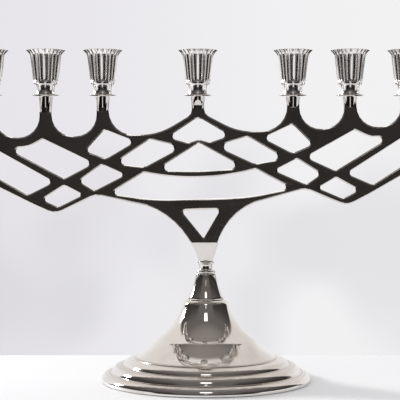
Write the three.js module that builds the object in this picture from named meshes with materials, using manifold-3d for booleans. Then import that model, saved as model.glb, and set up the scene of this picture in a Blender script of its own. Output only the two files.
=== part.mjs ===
// A nine-light table menorah in polished silver plate.
//
// An openwork branch frame stands on a stack of turned rings over a spun, stepped bell. Nine fluted
// candle cups sit in one level row, each on its own drip pan, and screw down on studs in the frame's
// stems. One tie rod runs down from the frame's neck and clamps the whole stack to the bell.
//
// Millimetres, +Z up. The origin is on the table, on the axis of the bell. The row of cups runs along
// X, and the front of the openwork faces -Y.
import * as THREE from "three";
import { mergeVertices } from "three/addons/utils/BufferGeometryUtils.js";
import Module from "manifold-3d";

// Clearances
const SEAT_GAP = 0.3; // between faces that touch
const STUD_CLEARANCE = 0.2; // round a stud or the tie rod, on the radius
const PAN_CLEARANCE = 0.5; // round a stud where it passes a drip pan, on the radius

// The foot
const BASE_RADIUS = 73.2;
const BASE_HEIGHT = 57;
const SHEET = 1.2; // wall of the spun bell
const RIM_LIFT = 0.4; // the rim stays this far above the table
const RIM_LIP = 1.8; // upright edge at the foot of the rim
const RIM_HEIGHT = 3.9; // rise of the rim's nose above its lip
const STEP_HEIGHT = 4.8; // rise of the middle step's nose
const TOP_STEP_HEIGHT = 3.8;
const STEP_WIDTH = 7.2; // from the rim in to the middle step
const TOP_STEP_WIDTH = 8;
const NOSE_RUN = 4; // each step's rounded nose leans in this far
const TREAD_FALL = 0.35; // each tread falls this much to its nose
const FLARE_RISE = 1; // rise of the top tread to the foot of the flare
const FLARE_FOOT = 50; // radius where the flare leaves the top tread
const RIDGE_RADIUS = 34.4; // of the ridge between the two sweeps of the flare
const RIDGE_HEIGHT = 28.9; // its height above the table
const SHOULDER_RADIUS = 16.4; // radius where the flare meets the rounded shoulder
const SHOULDER_HEIGHT = 3.8;
const CROWN_RADIUS = 13; // flat top of the bell
const BALLAST_THICKNESS = 2;
const FELT_THICKNESS = 1.5;
const FELT_MARGIN = 1.5; // the felt stops this far inside the ballast plate's edge

// The turned stack
const SLEEVE_HEIGHT = 17.7;
const SLEEVE_FOOT_RADIUS = 12.9;
const SLEEVE_TOP_RADIUS = 7.3;
const SLEEVE_LIP = 0.8; // height of the plain lip at the sleeve's foot
const LOWER_RING_HEIGHT = 2.3;
const LOWER_RING_RADIUS = 6.8;
const COLLAR_HEIGHT = 3.9;
const COLLAR_RADIUS = 4.9;
const UPPER_RING_HEIGHT = 2;
const UPPER_RING_RADIUS = 5.8;
const TIE_ROD_RADIUS = 1.5;
const TIE_ROD_REACH = 9; // how far the rod is screwed up into the neck
const WASHER_RADIUS = 10;
const WASHER_THICKNESS = 1.5;
const NUT_ACROSS_FLATS = 7;
const NUT_HEIGHT = 3;
const ROD_TAIL = 2; // rod standing below the nut

// The branch frame
const STEM_SPACING = [66.5, 39.8, 39.8, 39.9]; // from the middle stem outwards
const FRAME_HEIGHT = 107; // from the neck's foot to the top of the flat openwork
const STEM_RISE = 7.1; // the round stems stand this far above it
const FRAME_THICKNESS = 7;
const BEVEL_WIDTH = 1.2; // the openwork's edges slope off this far in from the edge
const BEVEL_DEPTH = 0.6; // and this far down from each face
const STEM_RADIUS = 5.1;
const STEM_FOOT_RADIUS = 4.2;
const STEM_LENGTH = 13.9;
const FLATS_TOP = 7.3; // a side stem's flats stop this far below its top
const FLATS_RUNOUT = 0.3; // and take this much to run out into the round
const SCOOP_TOP = 1.3; // the middle stem's flats run out higher, this far below its top
const SCOOP_RUNOUT = 4.4;
const NECK_RADIUS = 4.9;
const NECK_MIDDLE_RADIUS = 6.4;
const NECK_TOP_RADIUS = 9; // where it is lost between the legs of the openwork
const NECK_FOOT_DEPTH = 2.9; // the neck's flats lean out from this half thickness at its foot
const NECK_FLAT_HEIGHT = 12.5; // where the neck's flats reach the openwork's face
const FRAME_LEAN = 1.7; // degrees that the openwork leans to -X on its neck
const NECK_OFFSET = 2.4; // the neck stands this far to +X of the openwork's middle

// The cups
const CUP_FLATS = 24;
const PAN_RADIUS = 9.9;
const PAN_FOOT_RADIUS = 8.5;
const PAN_THICKNESS = 1.2;
const PAN_EDGE = 0.5; // thickness of the pan's rim
const CUP_NECK_RADIUS = 7.15;
const CUP_NECK_HEIGHT = 7.2;
const CUP_WAIST = 0.5; // hollow of the neck, on the radius
const BOWL_UNDERSIDE = 0.4; // rise from the neck out to the bowl's foot
const BOWL_FOOT_RADIUS = 8.6;
const BOWL_TOP_RADIUS = 10.95;
const BOWL_HEIGHT = 20.3;
const LIP_RADIUS = 13.8;
const LIP_HEIGHT = 3.4;
const CUP_WALL = 1.3;
const CANDLE_RADIUS = 5.3;
const CANDLE_DEPTH = 3; // of the candle's bore below the bowl's floor
const BOWL_FLOOR = 1.8; // height of the bowl's floor above the bowl's foot
const STUD_RADIUS = 2;
const STUD_IN_CUP = 4;
const STUD_IN_STEM = 7;
const TAP_RUNOUT = 0.4; // a tapped hole goes this much deeper than its stud

const CUT_OVERRUN = 1; // a cut starts this far outside the face it goes through
const BELL_SIDES = 36;
const ROUND_SIDES = 24;
const SMALL_SIDES = 16;
const ROD_SIDES = 12;

const wasm = await Module();
wasm.setup();

// Heights of the stack, from the table up
const sleeveFoot = BASE_HEIGHT + SEAT_GAP;
const lowerRingFoot = sleeveFoot + SLEEVE_HEIGHT + SEAT_GAP;
const collarFoot = lowerRingFoot + LOWER_RING_HEIGHT + SEAT_GAP;
const upperRingFoot = collarFoot + COLLAR_HEIGHT + SEAT_GAP;
const neckFoot = upperRingFoot + UPPER_RING_HEIGHT + SEAT_GAP;
const stemTop = neckFoot + FRAME_HEIGHT + STEM_RISE;
const panFoot = stemTop + SEAT_GAP;
const cupFoot = panFoot + PAN_THICKNESS + SEAT_GAP;

const rodHole = TIE_ROD_RADIUS + STUD_CLEARANCE;
const lean = THREE.MathUtils.degToRad(FRAME_LEAN);

// Where the stems stand in the openwork, one side, measured from its middle
const stems = STEM_SPACING.reduce((found, step) => [...found, found.at(-1) + step], [0]);

// A cup's place along X: straight above the stem that carries it
function cupX(across) {
  return (across - NECK_OFFSET) * Math.cos(lean) - FRAME_HEIGHT * Math.sin(lean);
}

const rowAcross = [...stems.slice(1).reverse().map((across) => -across), ...stems];

function polishedSilver(tint = 0xcfc9c4) {
  return new THREE.MeshStandardMaterial({ color: tint, roughness: 0.12, metalness: 1 });
}

function plainSteel() {
  return new THREE.MeshStandardMaterial({ color: 0x8d8f92, roughness: 0.45, metalness: 1 });
}

function greenFelt() {
  return new THREE.MeshStandardMaterial({ color: 0x24402e, roughness: 0.95, metalness: 0 });
}

// A turned piece about Z, from [radius, height] points that run up its outside
function turned(profile, sides = ROUND_SIDES) {
  const points = profile.map(([radius, height]) => new THREE.Vector2(radius, height));
  return new THREE.LatheGeometry(points, sides).rotateX(Math.PI / 2);
}

// A turned ring with a straight hole through it
function turnedRing(outside, hole, sides = ROUND_SIDES) {
  const bottom = outside[0][1];
  const top = outside.at(-1)[1];
  return turned([[hole, bottom], ...outside, [hole, top], [hole, bottom]], sides);
}

// Points of a smooth line between two [radius, height] ends, bent by two handles
function bent(start, handleA, handleB, end, steps) {
  const [a, b, c, d] = [start, handleA, handleB, end].map(([x, y]) => new THREE.Vector2(x, y));
  const curve = new THREE.CubicBezierCurve(a, b, c, d);
  return curve.getPoints(steps).map((point) => [point.x, point.y]);
}

function solidOf(geometry) {
  const bare = geometry.clone();
  bare.deleteAttribute("normal");
  bare.deleteAttribute("uv");
  const merged = mergeVertices(bare, 1e-4);
  return new wasm.Manifold(
    new wasm.Mesh({
      numProp: 3,
      vertProperties: merged.attributes.position.array,
      triVerts: new Uint32Array(merged.index.array),
    }),
  );
}

function geometryOf(solid) {
  const { vertProperties, triVerts } = solid.getMesh();
  const geometry = new THREE.BufferGeometry();
  geometry.setAttribute("position", new THREE.BufferAttribute(vertProperties, 3));
  geometry.setIndex(new THREE.BufferAttribute(triVerts, 1));
  geometry.computeVertexNormals();
  return geometry;
}

function rod(radius, bottom, top, sides = ROD_SIDES) {
  return turned([[0, bottom], [radius, bottom], [radius, top], [0, top]], sides);
}

const menorah = new THREE.Group();

function add(name, geometry, material, x = 0, z = 0) {
  const mesh = new THREE.Mesh(geometry, material);
  mesh.name = name;
  mesh.position.set(x, 0, z);
  menorah.add(mesh);
}

// The spun bell: a rim and two steps with rounded noses, a flare in two hollow sweeps that meet at a
// ridge, a rounded shoulder and a flat crown with a hole
const lipTop = RIM_LIFT + RIM_LIP;
const rimTop = lipTop + RIM_HEIGHT;
const midRadius = BASE_RADIUS - STEP_WIDTH;
const midFoot = rimTop + TREAD_FALL;
const midTop = midFoot + STEP_HEIGHT;
const topRadius = midRadius - TOP_STEP_WIDTH;
const topFoot = midTop + TREAD_FALL;
const topTop = topFoot + TOP_STEP_HEIGHT;
const flareFoot = topTop + FLARE_RISE;
const shoulderFoot = BASE_HEIGHT - SHOULDER_HEIGHT;

function nose(radius, foot, head) {
  return bent(
    [radius, foot],
    [radius - 0.14 * NOSE_RUN, foot + 0.5 * (head - foot)],
    [radius - 0.5 * NOSE_RUN, head - 0.1 * (head - foot)],
    [radius - NOSE_RUN, head],
    3,
  );
}

function lowerSweep(steps) {
  const reach = FLARE_FOOT - RIDGE_RADIUS;
  const rise = RIDGE_HEIGHT - flareFoot;
  return bent(
    [FLARE_FOOT, flareFoot],
    [FLARE_FOOT - 0.35 * reach, flareFoot + 0.25 * rise],
    [RIDGE_RADIUS + 0.3 * reach, RIDGE_HEIGHT - 0.41 * rise],
    [RIDGE_RADIUS, RIDGE_HEIGHT],
    steps,
  );
}

function upperSweep(steps) {
  const reach = RIDGE_RADIUS - SHOULDER_RADIUS;
  const rise = shoulderFoot - RIDGE_HEIGHT;
  return bent(
    [RIDGE_RADIUS, RIDGE_HEIGHT],
    [RIDGE_RADIUS - 0.42 * reach, RIDGE_HEIGHT + 0.22 * rise],
    [SHOULDER_RADIUS + 0.2 * reach, shoulderFoot - 0.45 * rise],
    [SHOULDER_RADIUS, shoulderFoot],
    steps,
  ).slice(1);
}

function shoulder() {
  return bent(
    [SHOULDER_RADIUS, shoulderFoot],
    [SHOULDER_RADIUS - 0.3, shoulderFoot + 0.6 * SHOULDER_HEIGHT],
    [CROWN_RADIUS + 1.4, BASE_HEIGHT],
    [CROWN_RADIUS, BASE_HEIGHT],
    3,
  ).slice(1);
}

// The inside runs one sheet thickness under the flare, the feet of the steps and the rim's nose
function bell() {
  const outside = [
    [BASE_RADIUS, RIM_LIFT],
    ...nose(BASE_RADIUS, lipTop, rimTop),
    ...nose(midRadius, midFoot, midTop),
    ...nose(topRadius, topFoot, topTop),
    ...lowerSweep(4),
    ...upperSweep(5),
    ...shoulder(),
  ];
  const under = [
    [CROWN_RADIUS, BASE_HEIGHT],
    ...upperSweep(3).reverse(),
    ...lowerSweep(2).reverse(),
    [topRadius, topFoot],
    [midRadius, midFoot],
    [BASE_RADIUS - NOSE_RUN + SHEET, rimTop],
    [BASE_RADIUS, lipTop + SHEET],
  ].map(([radius, height]) => [radius - SHEET, height - SHEET]);
  const hollow = [[rodHole, BASE_HEIGHT - SHEET], ...under, [BASE_RADIUS - SHEET, RIM_LIFT]];
  return turned([...outside, [rodHole, BASE_HEIGHT], ...hollow, outside[0]], BELL_SIDES);
}

const ballastFoot = FELT_THICKNESS + SEAT_GAP;
const ballastRadius = BASE_RADIUS - 0.8 * NOSE_RUN;
add("felt_pad", rod(ballastRadius - FELT_MARGIN, 0, FELT_THICKNESS, BELL_SIDES), greenFelt());
add(
  "ballast_plate",
  rod(ballastRadius, ballastFoot, ballastFoot + BALLAST_THICKNESS, BELL_SIDES),
  plainSteel(),
);
add("base_bell", bell(), polishedSilver());

// The turned stack, every piece threaded on the tie rod
const sleeveLip = sleeveFoot + SLEEVE_LIP;
const sleeveTop = sleeveFoot + SLEEVE_HEIGHT;
const sleeveSide = bent(
  [SLEEVE_FOOT_RADIUS, sleeveLip],
  [SLEEVE_FOOT_RADIUS - 3, sleeveLip + 0.35 * SLEEVE_HEIGHT],
  [SLEEVE_TOP_RADIUS + 0.7, sleeveTop - 0.3 * SLEEVE_HEIGHT],
  [SLEEVE_TOP_RADIUS, sleeveTop],
  6,
);
add(
  "flared_sleeve",
  turnedRing([[SLEEVE_FOOT_RADIUS, sleeveFoot], ...sleeveSide], rodHole),
  polishedSilver(),
);

// A ring with a rounded edge
function beadRing(radius, foot, height) {
  const round = 0.3 * height;
  return turnedRing(
    [
      [radius - round, foot],
      [radius, foot + round],
      [radius, foot + height - round],
      [radius - round, foot + height],
    ],
    rodHole,
  );
}

add("lower_ring", beadRing(LOWER_RING_RADIUS, lowerRingFoot, LOWER_RING_HEIGHT), polishedSilver());
add(
  "collar",
  turnedRing([[COLLAR_RADIUS, collarFoot], [COLLAR_RADIUS, collarFoot + COLLAR_HEIGHT]], rodHole),
  polishedSilver(),
);
add("upper_ring", beadRing(UPPER_RING_RADIUS, upperRingFoot, UPPER_RING_HEIGHT), polishedSilver());

const washerTop = BASE_HEIGHT - SHEET - SEAT_GAP;
const nutTop = washerTop - WASHER_THICKNESS - SEAT_GAP;
const nutFoot = nutTop - NUT_HEIGHT;
add("tie_rod", rod(TIE_ROD_RADIUS, nutFoot - ROD_TAIL, neckFoot + TIE_ROD_REACH), plainSteel());
add(
  "clamp_washer",
  turnedRing([[WASHER_RADIUS, washerTop - WASHER_THICKNESS], [WASHER_RADIUS, washerTop]], rodHole),
  plainSteel(),
);
add("clamp_nut", hexNut(), plainSteel());

function hexNut() {
  const corner = NUT_ACROSS_FLATS / Math.sqrt(3);
  const body = solidOf(rod(corner, nutFoot, nutTop, 6));
  const bore = rod(rodHole, nutFoot - CUT_OVERRUN, nutTop + CUT_OVERRUN);
  return geometryOf(body.subtract(solidOf(bore)));
}

// The branch frame is drawn flat, as seen from the front: each corner is [across, up, radius], with
// across measured from the middle of the openwork and up from the foot of its neck. The drawing is
// made for these stems and this height, and the two functions below fit it to the sizes above.
const DRAWN_STEMS = [0, 66.5, 106.3, 146.1, 186];
const DRAWN_HEIGHT = 107;
const SWAY_HEIGHT = 34; // below this the legs swing over to the offset neck
const CORNER_STEP = THREE.MathUtils.degToRad(42); // facets of a small corner
const CORNER_CHORD = 4.6; // longest facet of a wide one

const LOWER_EDGE = [
  [47, 41.5, 60],
  [73, 48, 12],
  [101.5, 35, 12],
  [118, 43, 80],
  [190.2, 82, 16],
];
const TROUGHS = [
  [[190.2, 107, 0], [181.8, 107, 0], [181.8, 89.5, 15], [150.3, 89.5, 15]],
  [[150.3, 107, 0], [141.9, 107, 0], [141.9, 89.5, 15], [110.5, 89.5, 15]],
  [[110.5, 107, 0], [102.1, 107, 0], [102.1, 89.3, 15], [70.7, 89.3, 15]],
  [[70.7, 107, 0], [62.3, 107, 0], [62.3, 89, 17.5], [28, 89, 44], [4.2, 102.3, 6], [4.2, 107, 0]],
];
const MIDDLE_OPENINGS = [
  // the arrow head under the middle stem, the triangle, the long slot and the opening over the neck
  [[0, 100, 5], [21.5, 86.5, 2.4], [7.5, 82.2, 5], [0, 84.4, 2]],
  [[0, 82, 3], [31, 63.5, 2.6], [0, 62.6, 0]],
  [[0, 58, 0], [20, 58.2, 150], [39, 62.7, 3], [63.5, 48.4, 2], [32, 43, 160], [0, 43.1, 0]],
  [[0, 35.6, 0], [13.8, 35.3, 1.6], [0, 15.4, 0.8]],
];
const SIDE_OPENINGS = [
  [[12, 79.5, 3], [34, 85.5, 5], [59.5, 69.5, 2.7], [38.5, 66.3, 5]],
  [[44.5, 84.3, 2.3], [65.4, 93.3, 3], [79.2, 78.7, 2.1], [65, 73, 4]],
  [[52, 61.3, 1.6], [68, 69, 3], [84.6, 57.8, 2.2], [74, 50.8, 3]],
  [[82, 48.2, 1.4], [94.6, 55.2, 2.5], [110.5, 45.7, 1.8], [99.3, 40.2, 2.5]],
  [[74, 70, 2.5], [108.5, 88, 1.5], [118.5, 82.8, 14], [134, 82.4, 2.4], [94.6, 59.8, 2.5]],
  [[102.2, 57.7, 2.1], [149, 86, 1.5], [158.5, 82.8, 14], [175.5, 82.4, 2.4], [120.5, 49.2, 3]],
];

// Stretches the drawing between the stems to where the stems really stand
function spread(across) {
  const side = Math.abs(across);
  let bay = 1;
  while (bay < DRAWN_STEMS.length - 1 && side > DRAWN_STEMS[bay]) bay += 1;
  const share = (side - DRAWN_STEMS[bay - 1]) / (DRAWN_STEMS[bay] - DRAWN_STEMS[bay - 1]);
  return Math.sign(across) * THREE.MathUtils.lerp(stems[bay - 1], stems[bay], share);
}

// A point of the drawing in its place on the frame, with the legs swung over to the neck
function placed([across, up]) {
  const sway = NECK_OFFSET * Math.max(0, 1 - up / SWAY_HEIGHT);
  return new THREE.Vector2(spread(across) + sway, (up * FRAME_HEIGHT) / DRAWN_HEIGHT);
}

// Replaces each corner of a closed outline by an arc of its own radius
function rounded(corners) {
  return corners.flatMap(([across, up, radius], i) => {
    const corner = new THREE.Vector2(across, up);
    if (!radius) return [corner];
    const [fromX, fromY] = corners.at(i - 1);
    const [toX, toY] = corners[(i + 1) % corners.length];
    const back = new THREE.Vector2(fromX, fromY).sub(corner).normalize();
    const on = new THREE.Vector2(toX, toY).sub(corner).normalize();
    const half = back.angleTo(on) / 2;
    const centre = back.clone().add(on).setLength(radius / Math.sin(half)).add(corner);
    const first = back.clone().multiplyScalar(radius / Math.tan(half)).add(corner).sub(centre);
    const turn = Math.sign(back.cross(on)) * (2 * half - Math.PI);
    const length = Math.abs(turn) * radius;
    const steps = Math.ceil(Math.max(Math.abs(turn) / CORNER_STEP, length / CORNER_CHORD));
    return Array.from({ length: steps + 1 }, (_, k) =>
      first.clone().rotateAround(new THREE.Vector2(), (turn * k) / steps).add(centre),
    );
  });
}

function mirrored(corners) {
  return corners.map(([across, ...rest]) => [-across, ...rest]).reverse();
}

// Joins a half outline to its mirror image, leaving out the copies of points on the middle line
function bothSides(half) {
  return [...half, ...mirrored(half).filter(([across]) => across !== 0)];
}

function fitted(corners) {
  return rounded(corners).map((point) => placed(point.toArray()));
}

// The openwork: outline and openings cut from plate, with every edge bevelled on both faces
function openwork() {
  const leg = bent([NECK_RADIUS, 0], [9, 14], [17, 31.5], [38, 39.3], 8).map(([x, y]) => [x, y, 0]);
  const outline = new THREE.Shape(fitted(bothSides([...leg, ...LOWER_EDGE, ...TROUGHS.flat()])));
  const openings = [
    ...MIDDLE_OPENINGS.map(bothSides),
    ...SIDE_OPENINGS,
    ...SIDE_OPENINGS.map(mirrored),
  ];
  outline.holes = openings.map((corners) => new THREE.Path(fitted(corners)));
  const plate = new THREE.ExtrudeGeometry(outline, {
    depth: FRAME_THICKNESS - 2 * BEVEL_DEPTH,
    bevelThickness: BEVEL_DEPTH,
    bevelSize: BEVEL_WIDTH,
    bevelOffset: -BEVEL_WIDTH,
    bevelSegments: 1,
  });
  plate.translate(-NECK_OFFSET, 0, BEVEL_DEPTH - FRAME_THICKNESS / 2);
  plate.rotateX(Math.PI / 2);
  return plate.rotateY(-lean).translate(0, 0, neckFoot);
}

// A long block across the frame whose side view is the given [depth, height] points, front and back
function flatsBlock(side, width) {
  const points = [...side, ...side.map(([depth, height]) => [-depth, height]).reverse()];
  const shape = new THREE.Shape(points.map(([depth, height]) => new THREE.Vector2(depth, height)));
  const block = new THREE.ExtrudeGeometry(shape, { depth: width, bevelEnabled: false });
  block.translate(0, 0, -width / 2);
  return solidOf(block.rotateX(Math.PI / 2).rotateZ(Math.PI / 2));
}

// Just inside the openwork's faces, so that the flats run into them without a step
const flatDepth = FRAME_THICKNESS / 2 - 0.05;

// The stems are round at the top. Below that the openwork's faces cut a flat front and back on each,
// and the flats run out upwards on a slope.
function stemSolids() {
  const foot = stemTop - STEM_LENGTH;
  const flats = (top, runout) =>
    flatsBlock(
      [
        [flatDepth, foot - CUT_OVERRUN],
        [flatDepth, top - runout],
        [STEM_RADIUS, top],
        [STEM_RADIUS, stemTop + CUT_OVERRUN],
      ],
      4 * stems.at(-1),
    );
  const sideFlats = flats(stemTop - FLATS_TOP + FLATS_RUNOUT, FLATS_RUNOUT);
  const scoops = flats(stemTop - SCOOP_TOP, SCOOP_RUNOUT);
  const stem = turned(
    [
      [0, foot],
      [STEM_FOOT_RADIUS, foot],
      [STEM_FOOT_RADIUS, foot + 0.3 * STEM_LENGTH],
      [STEM_RADIUS, stemTop],
      [0, stemTop],
    ],
    SMALL_SIDES,
  );
  return rowAcross.map((across) => {
    const placedStem = solidOf(stem.clone().translate(cupX(across), 0, 0));
    return placedStem.intersect(across === 0 ? scoops : sideFlats);
  });
}

const neckTop = neckFoot + NECK_FLAT_HEIGHT;

function neckSolid() {
  return solidOf(
    turned([
      [0, neckFoot],
      [NECK_RADIUS, neckFoot],
      [NECK_MIDDLE_RADIUS, neckFoot + 0.3 * NECK_FLAT_HEIGHT],
      [NECK_TOP_RADIUS, neckTop],
      [0, neckTop],
    ]),
  );
}

// Cuts the neck's flats, which lean in towards its foot, and ends the frame level there
function trimmedAtNeck(frame) {
  const slope = (FRAME_THICKNESS / 2 - NECK_FOOT_DEPTH) / NECK_FLAT_HEIGHT;
  const offset = (slope * neckFoot - NECK_FOOT_DEPTH) / Math.hypot(1, slope);
  return frame
    .trimByPlane([0, 1, slope], offset)
    .trimByPlane([0, -1, slope], offset)
    .trimByPlane([0, 0, 1], neckFoot);
}

function branchFrame() {
  const studFoot = stemTop - STUD_IN_STEM - TAP_RUNOUT;
  const studHole = rod(STUD_RADIUS + STUD_CLEARANCE, studFoot, stemTop + CUT_OVERRUN);
  const holes = rowAcross.map((across) => studHole.clone().translate(cupX(across), 0, 0));
  const tieHole = rod(rodHole, neckFoot - CUT_OVERRUN, neckFoot + TIE_ROD_REACH + TAP_RUNOUT);
  let frame = solidOf(openwork());
  [...stemSolids(), neckSolid()].forEach((solid) => (frame = frame.add(solid)));
  frame = trimmedAtNeck(frame);
  [tieHole, ...holes].forEach((hole) => (frame = frame.subtract(solidOf(hole))));
  return geometryOf(frame);
}

add("branch_frame", branchFrame(), polishedSilver(0xa9a4a0));

// One candle cup, from its neck's foot: a waisted neck, a bowl with a flat for each flute, a flared
// lip, and inside a taper down to the candle's bore. The stud's hole comes up from below.
function candleCup() {
  const bowlFoot = CUP_NECK_HEIGHT;
  const bowlTop = bowlFoot + BOWL_HEIGHT;
  const lipTop = bowlTop + LIP_HEIGHT;
  const floor = bowlFoot + BOWL_FLOOR;
  const boreFloor = floor - CANDLE_DEPTH;
  const studTop = STUD_IN_CUP + TAP_RUNOUT;
  const studHole = STUD_RADIUS + STUD_CLEARANCE;
  return turned(
    [
      [0, studTop],
      [studHole, studTop],
      [studHole, 0],
      [CUP_NECK_RADIUS, 0],
      [CUP_NECK_RADIUS - CUP_WAIST, CUP_NECK_HEIGHT / 2],
      [CUP_NECK_RADIUS, bowlFoot - BOWL_UNDERSIDE],
      [BOWL_FOOT_RADIUS, bowlFoot],
      [BOWL_TOP_RADIUS, bowlTop],
      [LIP_RADIUS, lipTop],
      [LIP_RADIUS - CUP_WALL, lipTop],
      [BOWL_TOP_RADIUS - CUP_WALL, bowlTop],
      [BOWL_FOOT_RADIUS - CUP_WALL, floor],
      [CANDLE_RADIUS, floor],
      [CANDLE_RADIUS, boreFloor],
      [0, boreFloor],
    ],
    CUP_FLATS,
  );
}

function dripPan() {
  return turnedRing(
    [[PAN_FOOT_RADIUS, 0], [PAN_RADIUS, PAN_THICKNESS - PAN_EDGE], [PAN_RADIUS, PAN_THICKNESS]],
    STUD_RADIUS + PAN_CLEARANCE,
    SMALL_SIDES,
  );
}

const studTopZ = cupFoot + STUD_IN_CUP;
rowAcross.forEach((across, i) => {
  const x = cupX(across);
  add(`cup_stud_${i + 1}`, rod(STUD_RADIUS, stemTop - STUD_IN_STEM, studTopZ), plainSteel(), x);
  add(`drip_pan_${i + 1}`, dripPan(), polishedSilver(), x, panFoot);
  add(`candle_cup_${i + 1}`, candleCup(), polishedSilver(), x, cupFoot);
});

export default menorah;
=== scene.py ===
# A nine-light table menorah in polished silver plate: a spun and stepped foot, a stack of turned
# rings, an openwork branch frame, and nine fluted candle cups on drip pans.
# Metres, +Z up. The row of cups runs along X, and the front of the openwork faces -Y.
import math

import bmesh
import bpy
from mathutils import Matrix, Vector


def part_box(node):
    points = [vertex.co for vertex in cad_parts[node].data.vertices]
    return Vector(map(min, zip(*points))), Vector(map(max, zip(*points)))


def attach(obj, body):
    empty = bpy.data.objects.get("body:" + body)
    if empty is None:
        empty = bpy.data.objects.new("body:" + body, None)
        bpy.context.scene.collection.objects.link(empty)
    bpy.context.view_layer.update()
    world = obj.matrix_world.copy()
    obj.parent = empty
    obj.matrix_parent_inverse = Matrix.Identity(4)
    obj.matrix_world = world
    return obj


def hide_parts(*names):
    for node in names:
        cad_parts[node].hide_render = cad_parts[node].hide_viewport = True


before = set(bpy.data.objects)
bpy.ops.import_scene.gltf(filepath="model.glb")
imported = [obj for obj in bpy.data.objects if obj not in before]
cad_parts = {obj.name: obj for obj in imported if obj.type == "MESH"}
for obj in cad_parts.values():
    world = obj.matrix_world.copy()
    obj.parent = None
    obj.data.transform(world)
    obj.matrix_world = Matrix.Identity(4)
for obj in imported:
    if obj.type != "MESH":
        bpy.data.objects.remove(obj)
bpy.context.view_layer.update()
MM = 0.001

# ---- The camera -----------------------------------------------------------------------------
# It stands about 0.9 m in front of the row, level with the openwork's lower half, a little to the
# left of the foot's axis, and looks very slightly down through a long lens.
camera = bpy.data.objects.new("camera", bpy.data.cameras.new("camera"))
camera.data.sensor_width = 36
camera.data.lens = 118
camera.location = (-0.0041, -0.918, 0.149)
camera.rotation_euler = (math.radians(90 - 1.4), 0, 0)
bpy.context.scene.collection.objects.link(camera)
bpy.context.scene.camera = camera
bpy.context.scene.view_settings.view_transform = "Standard"


# ---- The room -------------------------------------------------------------------------------
# A plain pale studio. Polished silver shows what stands round it: a dark room on the camera's
# side, up to well above it, and a bright wall and ceiling behind and overhead.
class Pattern:
    """One output of a node tree. Patterns add and multiply as numbers do."""

    def __init__(self, tree, socket=None):
        self.tree = tree
        self.socket = socket

    def node(self, kind, settings=None, sockets=None, out=0):
        """Adds one node: its settings first, then the values or patterns of its sockets."""
        made = self.tree.nodes.new(kind)
        for name, value in (settings or {}).items():
            setattr(made, name, value)
        for name, value in (sockets or {}).items():
            if isinstance(value, Pattern):
                self.tree.links.new(value.socket, made.inputs[name])
            else:
                made.inputs[name].default_value = value
        return Pattern(self.tree, made.outputs[out])

    def math(self, operation, *others):
        sockets = dict(enumerate((self, *others)))
        return self.node("ShaderNodeMath", {"operation": operation}, sockets)

    def __add__(self, other):
        return self.math("ADD", other)

    __radd__ = __add__

    def __mul__(self, other):
        return self.math("MULTIPLY", other)

    __rmul__ = __mul__

    def __sub__(self, other):
        return self.math("SUBTRACT", other)

    def __rsub__(self, other):
        return (self * -1) + other

    def between(self, low, high):
        """0 below low, 1 above high, and smooth from one to the other."""
        sockets = {"Value": self, "From Min": low, "From Max": high}
        return self.node("ShaderNodeMapRange", {"interpolation_type": "SMOOTHSTEP"}, sockets)

    def part(self, axis):
        """The X, Y or Z of a vector: 0, 1 or 2."""
        return self.node("ShaderNodeSeparateXYZ", None, {0: self}, out=axis)

    def mix(self, first, second):
        """A colour from first to second, as this pattern goes from 0 to 1."""
        pair = [c if isinstance(c, Pattern) else (*c, 1) for c in (first, second)]
        sockets = {0: self, 6: pair[0], 7: pair[1]}
        return self.node("ShaderNodeMix", {"data_type": "RGBA"}, sockets, out=2)

    def noise(self, scale, detail=2, roughness=0.5):
        """Soft random patches of this size of vector: about 0.3 to 0.7."""
        sockets = {"Vector": self, "Scale": scale, "Detail": detail, "Roughness": roughness}
        return self.node("ShaderNodeTexNoise", None, sockets, out="Fac")


studio = bpy.data.worlds.new("studio")
studio.use_nodes = True
bpy.context.scene.world = studio
studio.node_tree.nodes.clear()
room = Pattern(studio.node_tree)
toward = room.node("ShaderNodeTexCoord", out="Generated")
along, back, up = toward.part(0), toward.part(1), toward.part(2)
sideways = along.math("ABSOLUTE")
# What the camera sees straight on is the wall behind, with painted shade: it is darker to the left,
# and has soft painted shadows in blotches low down.
shadow_blotches = toward.noise(9, 1).between(0.4, 0.62) * up.between(0.06, -0.04)
open_wall = along.between(-0.16, 0.14).mix((0.8, 0.785, 0.82), (0.89, 0.885, 0.895))
backdrop = (shadow_blotches * 0.4).mix(open_wall, (0.6, 0.59, 0.63))
ceiling = along.between(-0.9, 0.9).mix((0.82, 0.79, 0.765), (0.74, 0.71, 0.685))
bright = up.between(0.15, 0.6).mix((0.9, 0.89, 0.9), ceiling)
facing = (back * -1).between(0.955, 0.99) * 0.02
overhead = up.between(0.04, 0.4) * 0.13 + up.between(0.8, 1) * 0.12
corners = 1 - sideways.between(0.42, 0.62) * up.between(0.8, 0.4) * 0.65
dark = ((facing + overhead + 0.012) * corners).mix((0, 0, 0), (1, 0.93, 0.89))
lit = (back * 0.88 + up * 0.475).between(0.55, 0.63)
side_strips = sideways.between(0.8, 0.9) * up.between(0.2, 0.1)
floor_strip = sideways.between(0.14, 0.07) * up.between(-0.1, -0.13)
reflected = lit.math("MAXIMUM", side_strips).math("MAXIMUM", floor_strip).mix(dark, bright)
seen_direct = room.node("ShaderNodeLightPath", out="Is Camera Ray")
seen_soft = room.node("ShaderNodeLightPath", out="Is Diffuse Ray")
seen = seen_direct.mix(seen_soft.mix(reflected, (0.8, 0.795, 0.81)), backdrop)
sky = room.node("ShaderNodeBackground", None, {"Color": seen})
world_out = studio.node_tree.nodes.new("ShaderNodeOutputWorld")
studio.node_tree.links.new(sky.socket, world_out.inputs["Surface"])


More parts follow.
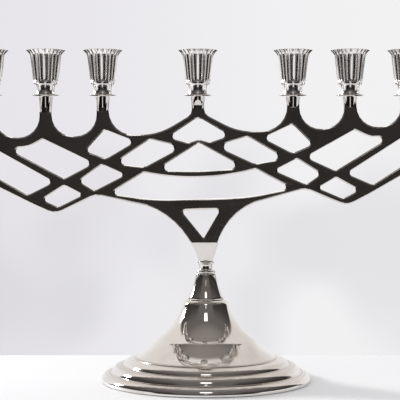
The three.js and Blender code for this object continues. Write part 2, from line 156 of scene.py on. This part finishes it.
def lamp(name, place, aim, width, height, power):
    """A flat softbox that faces the point aim."""
    light = bpy.data.lights.new(name, "AREA")
    light.shape = "RECTANGLE"
    light.size = width
    light.size_y = height
    light.energy = power
    made = bpy.data.objects.new(name, light)
    made.location = place
    direction = Matrix.Translation(place).translation - Matrix.Translation(aim).translation
    made.rotation_euler = direction.to_track_quat("Z", "Y").to_euler()
    bpy.context.scene.collection.objects.link(made)


lamp("high_softbox", (0, -1.09, 1.2), (0, 0, 0.05), 0.3, 0.38, 0.6)
lamp("low_softbox", (0, -1.43, 0.78), (0, 0, 0.07), 0.05, 0.26, 0.06)
lamp("left_window", (-1.5, 0.8, 0.72), (0, 0, 0.1), 0.28, 0.3, 26)

# ---- The table ------------------------------------------------------------------------------
# A plain white shelf. Its far edge is a hand's breadth behind the foot, and its front edge stands
# far enough forward that the silver shows white paper close by and the dark room beyond it.
bpy.ops.object.select_all(action="DESELECT")
bpy.ops.mesh.primitive_plane_add(size=1)
table = bpy.context.active_object
table.name = "table_top"
bpy.ops.object.mode_set(mode="EDIT")
far_edge, near_edge = 0.122, -0.3
bpy.ops.transform.resize(value=(4, far_edge - near_edge, 1))
bpy.ops.transform.translate(value=(0, (far_edge + near_edge) / 2, 0))
bpy.ops.object.mode_set(mode="OBJECT")
paper = bpy.data.materials.new("white_table")
paper.use_nodes = True
paint = Pattern(paper.node_tree)
where = paint.node("ShaderNodeTexCoord", out="Object")
shader = paper.node_tree.nodes["Principled BSDF"]
shade = where.noise(3, 2).mix((0.86, 0.86, 0.87), (0.92, 0.92, 0.92))
paper.node_tree.links.new(shade.socket, shader.inputs["Base Color"])
shader.inputs["Roughness"].default_value = 0.6
table.data.materials.append(paper)

# ---- The felt pad ---------------------------------------------------------------------------
# A disc of dark green wool felt, die-cut and glued under the ballast plate, so that the foot
# doesn't scratch the table. Its cut edge is soft.
def turned(name, outline, turns=96):
    """A solid spun about the foot's axis from the (radius, height) points of its outline."""
    bpy.ops.object.select_all(action="DESELECT")
    bpy.ops.mesh.primitive_plane_add(size=MM)
    made = bpy.context.active_object
    made.name = name
    bpy.ops.object.mode_set(mode="EDIT")
    bpy.ops.mesh.merge(type="CENTER")
    last = (0, 0)
    for number, (radius, height) in enumerate([*outline, outline[0]]):
        step = (radius - last[0], 0, height - last[1])
        if number:
            bpy.ops.mesh.extrude_region_move(TRANSFORM_OT_translate={"value": step})
        else:
            bpy.ops.transform.translate(value=step)
        last = (radius, height)
    bpy.ops.mesh.select_all(action="SELECT")
    bpy.ops.mesh.spin(steps=turns, angle=math.tau, center=(0, 0, 0), axis=(0, 0, 1))
    bpy.ops.mesh.select_all(action="SELECT")
    bpy.ops.mesh.remove_doubles(threshold=1e-6)
    bpy.ops.mesh.normals_make_consistent(inside=False)
    bpy.ops.object.mode_set(mode="OBJECT")
    return made


def eased(piece, width, segments=2, angle=28):
    """Rounds every edge sharper than the angle, and smooths what is left."""
    bpy.ops.object.select_all(action="DESELECT")
    piece.select_set(True)
    bpy.context.view_layer.objects.active = piece
    bevel = piece.modifiers.new("eased_edges", "BEVEL")
    bevel.width = width
    bevel.segments = segments
    bevel.limit_method = "ANGLE"
    bevel.angle_limit = math.radians(angle)
    bpy.ops.object.modifier_apply(modifier=bevel.name)
    bpy.ops.object.shade_smooth_by_angle(angle=math.radians(angle))
    return piece


low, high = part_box("felt_pad")
felt = turned("felt_disc", [(0, low.z), (high.y, low.z), (high.y, high.z), (0, high.z)], 120)
eased(felt, 0.4 * MM)
wool = bpy.data.materials.new("green_wool_felt")
wool.use_nodes = True
fuzz = Pattern(wool.node_tree)
where = fuzz.node("ShaderNodeTexCoord", out="Object")
fibres = where.noise(1400, 6, 0.7)
mottle = where.noise(90, 3)
wool_tone = (fibres * 0.7 + mottle * 0.3).between(0.35, 0.65)
shade = wool_tone.mix((0.02, 0.055, 0.03), (0.05, 0.12, 0.065))
shader = wool.node_tree.nodes["Principled BSDF"]
shader.inputs["Roughness"].default_value = 0.95
shader.inputs["Sheen Weight"].default_value = 0.6
nap = fuzz.node("ShaderNodeBump", None, {"Strength": 0.7, "Distance": 0.0003, "Height": fibres})
wool.node_tree.links.new(shade.socket, shader.inputs["Base Color"])
wool.node_tree.links.new(nap.socket, shader.inputs["Normal"])
felt.data.materials.append(wool)
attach(felt, "stand")
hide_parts("felt_pad")

# ---- The ballast plate, washer, nut and tie rod ------------------------------------------------
# Plain steel parts hidden in the foot: a turned disc for weight, and the rod that clamps the stack,
# with its washer and nut. All are left as machined, with fine lathe marks and a grey zinc bloom.
def plain_steel(name, tone, across, down):
    """Machined steel: across sets how close the marks are over its radius, and down up its height."""
    steel = bpy.data.materials.new(name)
    steel.use_nodes = True
    cut = Pattern(steel.node_tree)
    where = cut.node("ShaderNodeTexCoord", out="Object")
    radius = cut.node("ShaderNodeVectorMath", {"operation": "LENGTH"}, {
        0: cut.node("ShaderNodeVectorMath", {"operation": "MULTIPLY"}, {0: where, 1: (1, 1, 0)})
    }, out="Value")
    rings = cut.node("ShaderNodeCombineXYZ", None, {0: radius * across, 1: where.part(2) * down})
    marks = rings.noise(1, 3)
    bloom = where.noise(160, 4)
    shade = (marks * 0.4 + bloom * 0.6).between(0.35, 0.65)
    dull, clean = ([tone * share for share in shares] for shares in ((0.8, 0.81, 0.83), (1, 1, 1.01)))
    colour = shade.mix(dull, clean)
    shader = steel.node_tree.nodes["Principled BSDF"]
    shader.inputs["Metallic"].default_value = 1
    ridges = cut.node("ShaderNodeBump", None, {
        "Strength": 0.25, "Distance": 0.06 * MM, "Height": marks
    })
    steel.node_tree.links.new(colour.socket, shader.inputs["Base Color"])
    steel.node_tree.links.new((bloom * 0.3 + 0.22).socket, shader.inputs["Roughness"])
    steel.node_tree.links.new(ridges.socket, shader.inputs["Normal"])
    return steel


lathe_cut = plain_steel("lathe_cut_steel", 0.55, 2500, 2500)
for name in ("ballast_plate", "clamp_washer", "clamp_nut", "tie_rod"):
    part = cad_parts[name]
    part.data.materials.clear()
    part.data.materials.append(lathe_cut)

# ---- The foot -------------------------------------------------------------------------------
# A bell spun from sheet and silver plated: a rim, two steps, a hollow flare that runs up to a
# rounded shoulder, and two fine turned ridges on the flare. Its crown is flat under the stack.
def swept(start, handle_a, handle_b, end, count):
    """Points of a smooth line from start to end, bent by its two handles."""
    line = []
    for number in range(count + 1):
        t = number / count
        weights = ((1 - t) ** 3, 3 * t * (1 - t) ** 2, 3 * t * t * (1 - t), t ** 3)
        line.append(tuple(
            sum(w * point[axis] for w, point in zip(weights, (start, handle_a, handle_b, end)))
            for axis in (0, 1)
        ))
    return line


def nose(radius, foot, head):
    """The rounded outer edge of a step, from its foot up to its tread."""
    lean_in, rise = 4 * MM, head - foot
    return swept(
        (radius, foot),
        (radius - 0.14 * lean_in, foot + 0.5 * rise),
        (radius - 0.5 * lean_in, head - 0.1 * rise),
        (radius - lean_in, head),
        8,
    )


low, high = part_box("base_bell")
rim, crown = high.y, high.z
wall_thickness = 1.2 * MM
tread_fall = 0.35 * MM
middle = rim - 7.2 * MM
top = middle - 8 * MM
lip_top = low.z + 1.8 * MM
rim_top = lip_top + 3.9 * MM
middle_foot = rim_top + tread_fall
middle_top = middle_foot + 4.8 * MM
top_foot = middle_top + tread_fall
top_top = top_foot + 3.8 * MM
flare_radius, flare_foot = 50 * MM, top_top + 1 * MM
ridge_radius, ridge = 34.4 * MM, 28.9 * MM
shoulder_radius, shoulder_foot = 16.4 * MM, crown - 3.8 * MM
reach, rise = flare_radius - ridge_radius, ridge - flare_foot
lower_sweep = swept(
    (flare_radius, flare_foot),
    (flare_radius - 0.35 * reach, flare_foot + 0.25 * rise),
    (ridge_radius + 0.3 * reach, ridge - 0.41 * rise),
    (ridge_radius + 0.3 * MM, ridge - 0.3 * MM),
    18,
)
reach, rise = ridge_radius - shoulder_radius, shoulder_foot - ridge
upper_sweep = swept(
    (ridge_radius - 0.2 * MM, ridge + 0.4 * MM),
    (ridge_radius - 0.42 * reach, ridge + 0.22 * rise),
    (shoulder_radius + 0.2 * reach, shoulder_foot - 0.45 * rise),
    (shoulder_radius, shoulder_foot),
    24,
)
shoulder = swept(
    (shoulder_radius, shoulder_foot),
    (shoulder_radius - 0.3 * MM, shoulder_foot + 2.3 * MM),
    (14.4 * MM, crown),
    (13 * MM, crown),
    8,
)[1:]
outside = [
    (rim, low.z),
    *nose(rim, lip_top, rim_top),
    *nose(middle, middle_foot, middle_top),
    *nose(top, top_foot, top_top),
    (flare_radius + 0.2 * MM, flare_foot - 0.5 * MM),
    *lower_sweep,
    *upper_sweep,
    *shoulder,
]
bore = 1.7 * MM
under = [
    *reversed(upper_sweep[::4]),
    *reversed(lower_sweep[::6]),
    (top, top_foot),
    (middle, middle_foot),
    (rim - 2.8 * MM, rim_top),
    (rim, lip_top + wall_thickness),
]
inside = [
    (bore, crown),
    (bore, crown - wall_thickness),
    (12 * MM, crown - wall_thickness),
    *[(radius - wall_thickness, height - wall_thickness) for radius, height in under],
    (rim - wall_thickness, low.z),
]
bell = turned("spun_foot", [*outside, *inside], 160)
eased(bell, 0.2 * MM, 3, 32)


def finished(piece, material, body, cad_node):
    """Gives a piece its material and its body, and hides the CAD node that it stands for."""
    piece.data.materials.clear()
    piece.data.materials.append(material)
    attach(piece, body)
    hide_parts(cad_node)


def spun_silver(name, clean, dull, tarnish_at, roughness=0.055):
    """Spun or turned plate: fine rings round the axis, smears, and tarnish at given heights."""
    plate = bpy.data.materials.new(name)
    plate.use_nodes = True
    polish = Pattern(plate.node_tree)
    where = polish.node("ShaderNodeTexCoord", out="Object")
    flat = polish.node("ShaderNodeVectorMath", {"operation": "MULTIPLY"}, {0: where, 1: (1, 1, 0)})
    radius = polish.node("ShaderNodeVectorMath", {"operation": "LENGTH"}, {0: flat}, out="Value")
    height = where.part(2)
    fine = polish.node("ShaderNodeCombineXYZ", None, {0: radius * 900, 1: height * 900})
    broad = polish.node("ShaderNodeCombineXYZ", None, {0: radius * 160, 1: height * 160})
    rings = fine.noise(1, 4, 0.6)
    streaks = broad.noise(1, 2)
    smears = where.noise(28, 3, 0.6)
    specks = where.noise(900, 2, 0.8).between(0.66, 0.74)
    dull_share = smears.between(0.45, 0.75) * 0.35
    for at, spread in tarnish_at:
        near = (height - at).math("ABSOLUTE").between(spread, 0)
        dull_share = dull_share.math("MAXIMUM", near * rings.between(0.3, 0.6))
    dull_share = dull_share.math("MAXIMUM", specks * 0.5)
    colour = dull_share.mix(clean, dull)
    shader = plate.node_tree.nodes["Principled BSDF"]
    shader.inputs["Metallic"].default_value = 1
    rough = rings * 0.05 + smears * 0.09 + dull_share * 0.12 + (roughness - 0.06)
    lines = rings * 0.5 + streaks * 0.5
    relief = polish.node("ShaderNodeBump", None, {
        "Strength": 0.12, "Distance": 0.08 * MM, "Height": lines
    })
    plate.node_tree.links.new(colour.socket, shader.inputs["Base Color"])
    plate.node_tree.links.new(rough.socket, shader.inputs["Roughness"])
    plate.node_tree.links.new(relief.socket, shader.inputs["Normal"])
    return plate


foot_silver = spun_silver(
    "spun_foot_silver",
    (0.86, 0.825, 0.79),
    (0.52, 0.46, 0.41),
    [(middle_foot, 1.2 * MM), (top_foot, 1.2 * MM), (flare_foot, 1.5 * MM)],
)
finished(bell, foot_silver, "stand", "base_bell")

# ---- The sleeve and the rings -------------------------------------------------------------------
# Four turned pieces threaded on the tie rod: a hollow-sided flared sleeve, a lower ring, a plain
# collar and an upper ring. Each is plated on its own, so dark lines show between them.
stack_silver = spun_silver("turned_stack_silver", (0.85, 0.815, 0.78), (0.45, 0.4, 0.36), [])
low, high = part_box("flared_sleeve")
lip = low.z + 0.8 * MM
side = swept(
    (high.y, lip),
    (high.y - 3 * MM, lip + 6.2 * MM),
    (8 * MM, high.z - 5.3 * MM),
    (7.3 * MM, high.z),
    16,
)
sleeve = turned("turned_sleeve", [(bore, low.z), (high.y, low.z), *side, (bore, high.z)])
finished(eased(sleeve, 0.25 * MM), stack_silver, "stand", "flared_sleeve")


def bead(name, radius, foot, head, hollow=0.0):
    """A turned ring whose edge is a half round, or a hollow where hollow is above 0."""
    middle = (foot + head) / 2
    half = (head - foot) / 2
    edge = []
    for number in range(9):
        angle = math.pi * (number / 8 - 0.5)
        bulge = math.cos(angle) * half * 0.8
        out = radius - half * 0.8 + bulge if not hollow else radius - hollow * math.cos(angle)
        edge.append((out, middle + half * math.sin(angle)))
    return eased(turned(name, [(bore, foot), *edge, (bore, head)]), 0.12 * MM)


for name, node, hollow in (
    ("lower_bead", "lower_ring", 0),
    ("plain_collar", "collar", 0.35 * MM),
    ("upper_bead", "upper_ring", 0),
):
    low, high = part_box(node)
    finished(bead(name, high.y, low.z, high.z, hollow), stack_silver, "stand", node)

# ---- The branch frame -------------------------------------------------------------------------
# One casting, filed flat, polished and plated: a lattice of crossing ribs that carries the nine
# stems. Its edges are eased by the polishing wheel, and its faces are very slightly wavy. The neck's
# faces lean in towards its foot, and they and the middle stem's scoops keep a crisp outline.
lattice = bpy.data.objects.new("branch_lattice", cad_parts["branch_frame"].data.copy())
bpy.context.scene.collection.objects.link(lattice)
bpy.ops.object.select_all(action="DESELECT")
lattice.select_set(True)
bpy.context.view_layer.objects.active = lattice
bpy.ops.mesh.customdata_custom_splitnormals_clear()
bpy.ops.object.mode_set(mode="EDIT")
bpy.ops.mesh.select_all(action="SELECT")
bpy.ops.mesh.remove_doubles(threshold=1e-5)
bpy.ops.mesh.dissolve_limited(angle_limit=math.radians(0.5))
bpy.ops.object.mode_set(mode="OBJECT")
bpy.ops.object.shade_smooth_by_angle(angle=math.radians(50))
bpy.ops.object.mode_set(mode="EDIT")
bpy.ops.mesh.select_mode(type="FACE")
for steepest, shallowest in ((-0.5, -0.3), (-0.07, -0.03)):  # the scoops, then the neck's faces
    bpy.ops.mesh.select_all(action="DESELECT")
    shape = bmesh.from_edit_mesh(lattice.data)
    for face in shape.faces:
        face.select = steepest < face.normal.z < shallowest and abs(face.normal.y) > 0.9
    bmesh.update_edit_mesh(lattice.data)
    bpy.ops.mesh.region_to_loop()
    bpy.ops.mesh.mark_sharp()
    bpy.ops.mesh.select_mode(type="FACE")
bpy.ops.mesh.select_mode(type="VERT")
bpy.ops.object.mode_set(mode="OBJECT")
weighted = lattice.modifiers.new("flat_faces", "WEIGHTED_NORMAL")
weighted.keep_sharp = True
bpy.ops.object.modifier_apply(modifier=weighted.name)

cast = bpy.data.materials.new("polished_cast_silver")
cast.use_nodes = True
polish = Pattern(cast.node_tree)
where = polish.node("ShaderNodeTexCoord", out="Object")
smears = where.noise(30, 3, 0.6)
hair_lines = polish.node("ShaderNodeMapping", None, {
    "Vector": where, "Rotation": (0, 0.5, 0), "Scale": (60, 60, 1400)
})
scratches = hair_lines.noise(1, 3, 0.6)
specks = where.noise(700, 2, 0.8).between(0.68, 0.74)
stain = smears.between(0.42, 0.7)
shader = cast.node_tree.nodes["Principled BSDF"]
shader.inputs["Metallic"].default_value = 1
colour = (stain * 0.6 + specks * 0.3).mix((0.8, 0.765, 0.735), (0.55, 0.5, 0.46))
rough = smears * 0.08 + scratches * 0.06 + specks * 0.15
waves = polish.node("ShaderNodeBump", None, {
    "Strength": 0.2, "Distance": 0.0004, "Height": where.noise(38, 1) + scratches * 0.01
})
cast.node_tree.links.new(colour.socket, shader.inputs["Base Color"])
cast.node_tree.links.new(rough.socket, shader.inputs["Roughness"])
cast.node_tree.links.new(waves.socket, shader.inputs["Normal"])
finished(lattice, cast, "stand", "branch_frame")

# ---- The studs ----------------------------------------------------------------------------------
# Nine threaded steel studs, one screwed into each stem. A cup screws down on each, over its pan.
thread = bpy.data.materials.new("threaded_steel")
thread.use_nodes = True
cut = Pattern(thread.node_tree)
where = cut.node("ShaderNodeTexCoord", out="Object")
turns = where.part(2) * (math.tau / (0.7 * MM))
crest = turns.math("SINE") * 0.5 + 0.5
bloom = where.noise(700, 3)
shader = thread.node_tree.nodes["Principled BSDF"]
shader.inputs["Metallic"].default_value = 1
# Painted shade: the colour is darker in the thread's roots and lighter on its crests, following the
# bump.
colour = (crest * 0.7 + bloom * 0.3).mix((0.2, 0.19, 0.18), (0.62, 0.61, 0.6))
ridges = cut.node("ShaderNodeBump", None, {"Strength": 0.9, "Distance": 0.0003, "Height": crest})
cut.tree.links.new(colour.socket, shader.inputs["Base Color"])
cut.tree.links.new((bloom * 0.25 + 0.2).socket, shader.inputs["Roughness"])
cut.tree.links.new(ridges.socket, shader.inputs["Normal"])
for number in range(1, 10):
    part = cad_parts[f"cup_stud_{number}"]
    part.data.materials.clear()
    part.data.materials.append(thread)


# ---- The drip pans --------------------------------------------------------------------------------
# Nine thin turned discs with a sharp edge, each held between a stem and its cup's neck. The top is
# slightly dished to hold wax. One is modelled, and the rest are copies of its mesh.
def copied(master, name, x):
    """A copy with its own mesh, moved along the row to x."""
    made = bpy.data.objects.new(name, master.data.copy())
    made.data.transform(Matrix.Translation((x, 0, 0)))
    bpy.context.scene.collection.objects.link(made)
    return made


def cup_silver(name, clean, dull, rough):
    """Plate on the cups and pans: random smears of tarnish, and painted shade that darkens each
    flute's hollow.
    """
    plate = bpy.data.materials.new(name)
    plate.use_nodes = True
    polish = Pattern(plate.node_tree)
    where = polish.node("ShaderNodeTexCoord", out="Object")
    hollow = polish.node("ShaderNodeAttribute", {"attribute_name": "hollow"}, out="Fac")
    smears = where.noise(120, 3, 0.6)
    specks = where.noise(1500, 2, 0.8).between(0.6, 0.72)
    # Painted shade darkens each flute's hollow through its hollow attribute, on top of the random
    # smears of tarnish.
    dull_share = hollow.between(0.25, 1) * (smears * 0.5 + 0.6) + smears.between(0.5, 0.75) * 0.25
    shader = plate.node_tree.nodes["Principled BSDF"]
    shader.inputs["Metallic"].default_value = 1
    colour = (dull_share + specks * 0.2).mix(clean, dull)
    roughness = dull_share * 0.1 + smears * 0.06 + rough
    relief = polish.node("ShaderNodeBump", None, {
        "Strength": 0.05, "Distance": 0.00008, "Height": smears + where.noise(900, 2) * 0.2
    })
    plate.node_tree.links.new(colour.socket, shader.inputs["Base Color"])
    plate.node_tree.links.new(roughness.socket, shader.inputs["Roughness"])
    plate.node_tree.links.new(relief.socket, shader.inputs["Normal"])
    return plate


pan_silver = cup_silver("drip_pan_silver", (0.8, 0.765, 0.73), (0.4, 0.36, 0.33), 0.05)
low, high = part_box("drip_pan_5")
pan = turned("pan_master", [
    (2.5 * MM, low.z),
    (7.2 * MM, low.z),
    (8.6 * MM, low.z + 0.25 * MM),
    (high.y, low.z + 0.8 * MM),
    (high.y, high.z - 0.1 * MM),
    (high.y - 0.35 * MM, high.z),
    (8.4 * MM, high.z - 0.25 * MM),
    (7.4 * MM, high.z - 0.3 * MM),
    (7.2 * MM, high.z),
    (2.5 * MM, high.z),
], 72)
eased(pan, 0.08 * MM)
for number in range(1, 10):
    node = f"drip_pan_{number}"
    low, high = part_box(node)
    disc = copied(pan, f"pan_disc_{number}", (low.x + high.x) / 2)
    finished(disc, pan_silver, "stand", node)
bpy.data.objects.remove(pan)

# ---- The candle cups --------------------------------------------------------------------------------
# Nine turned cups with a waisted neck, a plain band, a tapering bowl of 24 hollow flutes and a
# flared, scalloped lip. Inside, each tapers to the bore that holds the candle. Each lifts off.
low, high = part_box("candle_cup_5")
foot = low.z
FLUTES, FLUTE_SIDES = 24, 8
hollow_of = [math.sin(math.pi * place / FLUTE_SIDES) ** 1.2 for place in range(FLUTE_SIDES)]
rings = [
    # height over the cup's foot, radius over the ridges, depth of the flutes as a share of it
    (4.4, 0.3, 0), (4.4, 2.2, 0), (0, 2.2, 0), (0, 6.95, 0), (0.25, 7.15, 0), (0.6, 7.1, 0),
    (1.2, 6.85, 0), (2.4, 6.68, 0), (3.6, 6.65, 0), (4.8, 6.68, 0), (6, 6.85, 0), (6.75, 7.12, 0),
    (6.85, 8.3, 0), (7, 8.5, 0), (7.25, 8.62, 0), (8.1, 8.75, 0), (8.5, 8.72, 0), (8.65, 8.6, 0),
    (8.85, 8.62, 0), (9.15, 8.72, 0.02), (9.6, 8.8, 0.05), (10.4, 8.9, 0.066), (13, 9.2, 0.068),
    (18, 9.8, 0.068), (23, 10.4, 0.066), (26, 10.76, 0.062), (27.2, 10.92, 0.055),
    (28, 11.2, 0.05), (28.8, 11.75, 0.05), (29.6, 12.5, 0.05), (30.2, 13.2, 0.05),
    (30.6, 13.65, 0.05), (30.75, 13.8, 0.05), (30.9, 13.62, 0.045), (30.75, 13.2, 0.02),
    (30.1, 12.3, 0), (28.9, 10.9, 0), (27.9, 10.1, 0), (27, 9.72, 0), (18, 8.5, 0), (9.2, 7.35, 0),
    (9, 7.15, 0), (9, 5.45, 0), (8.85, 5.3, 0), (6.1, 5.3, 0), (6, 5.1, 0), (6, 0.3, 0),
]
bpy.ops.object.select_all(action="DESELECT")
bpy.ops.mesh.primitive_circle_add(
    vertices=FLUTES * FLUTE_SIDES, radius=rings[0][1] * MM, location=(0, 0, foot + rings[0][0] * MM)
)
cup = bpy.context.active_object
bpy.ops.object.transform_apply(location=True)
bpy.ops.object.mode_set(mode="EDIT")
bpy.ops.mesh.select_all(action="SELECT")
bpy.ops.mesh.extrude_region_move(TRANSFORM_OT_translate={"value": (0, 0, 0)})
last_height, last_radius, last_hollow = rings[0]
axis = (0, 0, 0)
for height, radius, hollow in rings[1:]:
    rise = (0, 0, (height - last_height) * MM)
    bpy.ops.mesh.extrude_region_move(TRANSFORM_OT_translate={"value": rise})
    grow = radius / last_radius
    bpy.ops.transform.resize(value=(grow, grow, 1), center_override=axis)
    if hollow != last_hollow:
        shape = bmesh.from_edit_mesh(cup.data)
        ring = [v for v in shape.verts if v.select]
        for place in range(1, FLUTE_SIDES // 2 + 1):
            for v in ring:
                turn = round(math.atan2(v.co.y, v.co.x) / math.tau * FLUTES * FLUTE_SIDES)
                v.select = turn % FLUTE_SIDES in (place, FLUTE_SIDES - place)
            shape.select_flush_mode()
            bmesh.update_edit_mesh(cup.data)
            press = (1 - hollow * hollow_of[place]) / (1 - last_hollow * hollow_of[place])
            bpy.ops.transform.resize(value=(press, press, 1), center_override=axis)
        for v in ring:
            v.select = True
        shape.select_flush_mode()
        bmesh.update_edit_mesh(cup.data)
    last_height, last_radius, last_hollow = height, radius, hollow
bpy.ops.mesh.select_all(action="SELECT")
bpy.ops.mesh.remove_doubles(threshold=1e-7)
bpy.ops.mesh.select_all(action="DESELECT")
bpy.ops.mesh.select_non_manifold()
bpy.ops.mesh.edge_face_add()
bpy.ops.mesh.select_all(action="SELECT")
bpy.ops.mesh.normals_make_consistent(inside=False)
bpy.ops.object.mode_set(mode="OBJECT")
bpy.ops.object.shade_smooth_by_angle(angle=math.radians(42))
# Each vertex of the bowl is given how deep in its flute's hollow it lies: the mask of the painted
# shade in the hollows.
deep = cup.data.attributes.new("hollow", "FLOAT", "POINT")
for number, v in enumerate(cup.data.vertices):
    height = (v.co.z - foot) / MM
    reach = math.hypot(v.co.x, v.co.y) / MM
    turn = round(math.atan2(v.co.y, v.co.x) / math.tau * FLUTES * FLUTE_SIDES)
    outer = 9.1 < height < 28.5 and reach > 8.1 + 0.1 * max(0, height - 12)
    deep.data[number].value = hollow_of[turn % FLUTE_SIDES] if outer else 0
# The dull colour is both the painted shade in the flute hollows and the tarnish.
fluted_silver = cup_silver("fluted_cup_silver", (0.95, 0.93, 0.91), (0.66, 0.62, 0.58), 0.15)
for number in range(1, 10):
    node = f"candle_cup_{number}"
    low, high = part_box(node)
    made = copied(cup, f"fluted_cup_{number}", (low.x + high.x) / 2)
    finished(made, fluted_silver, f"cup_{number}", node)
bpy.data.objects.remove(cup)
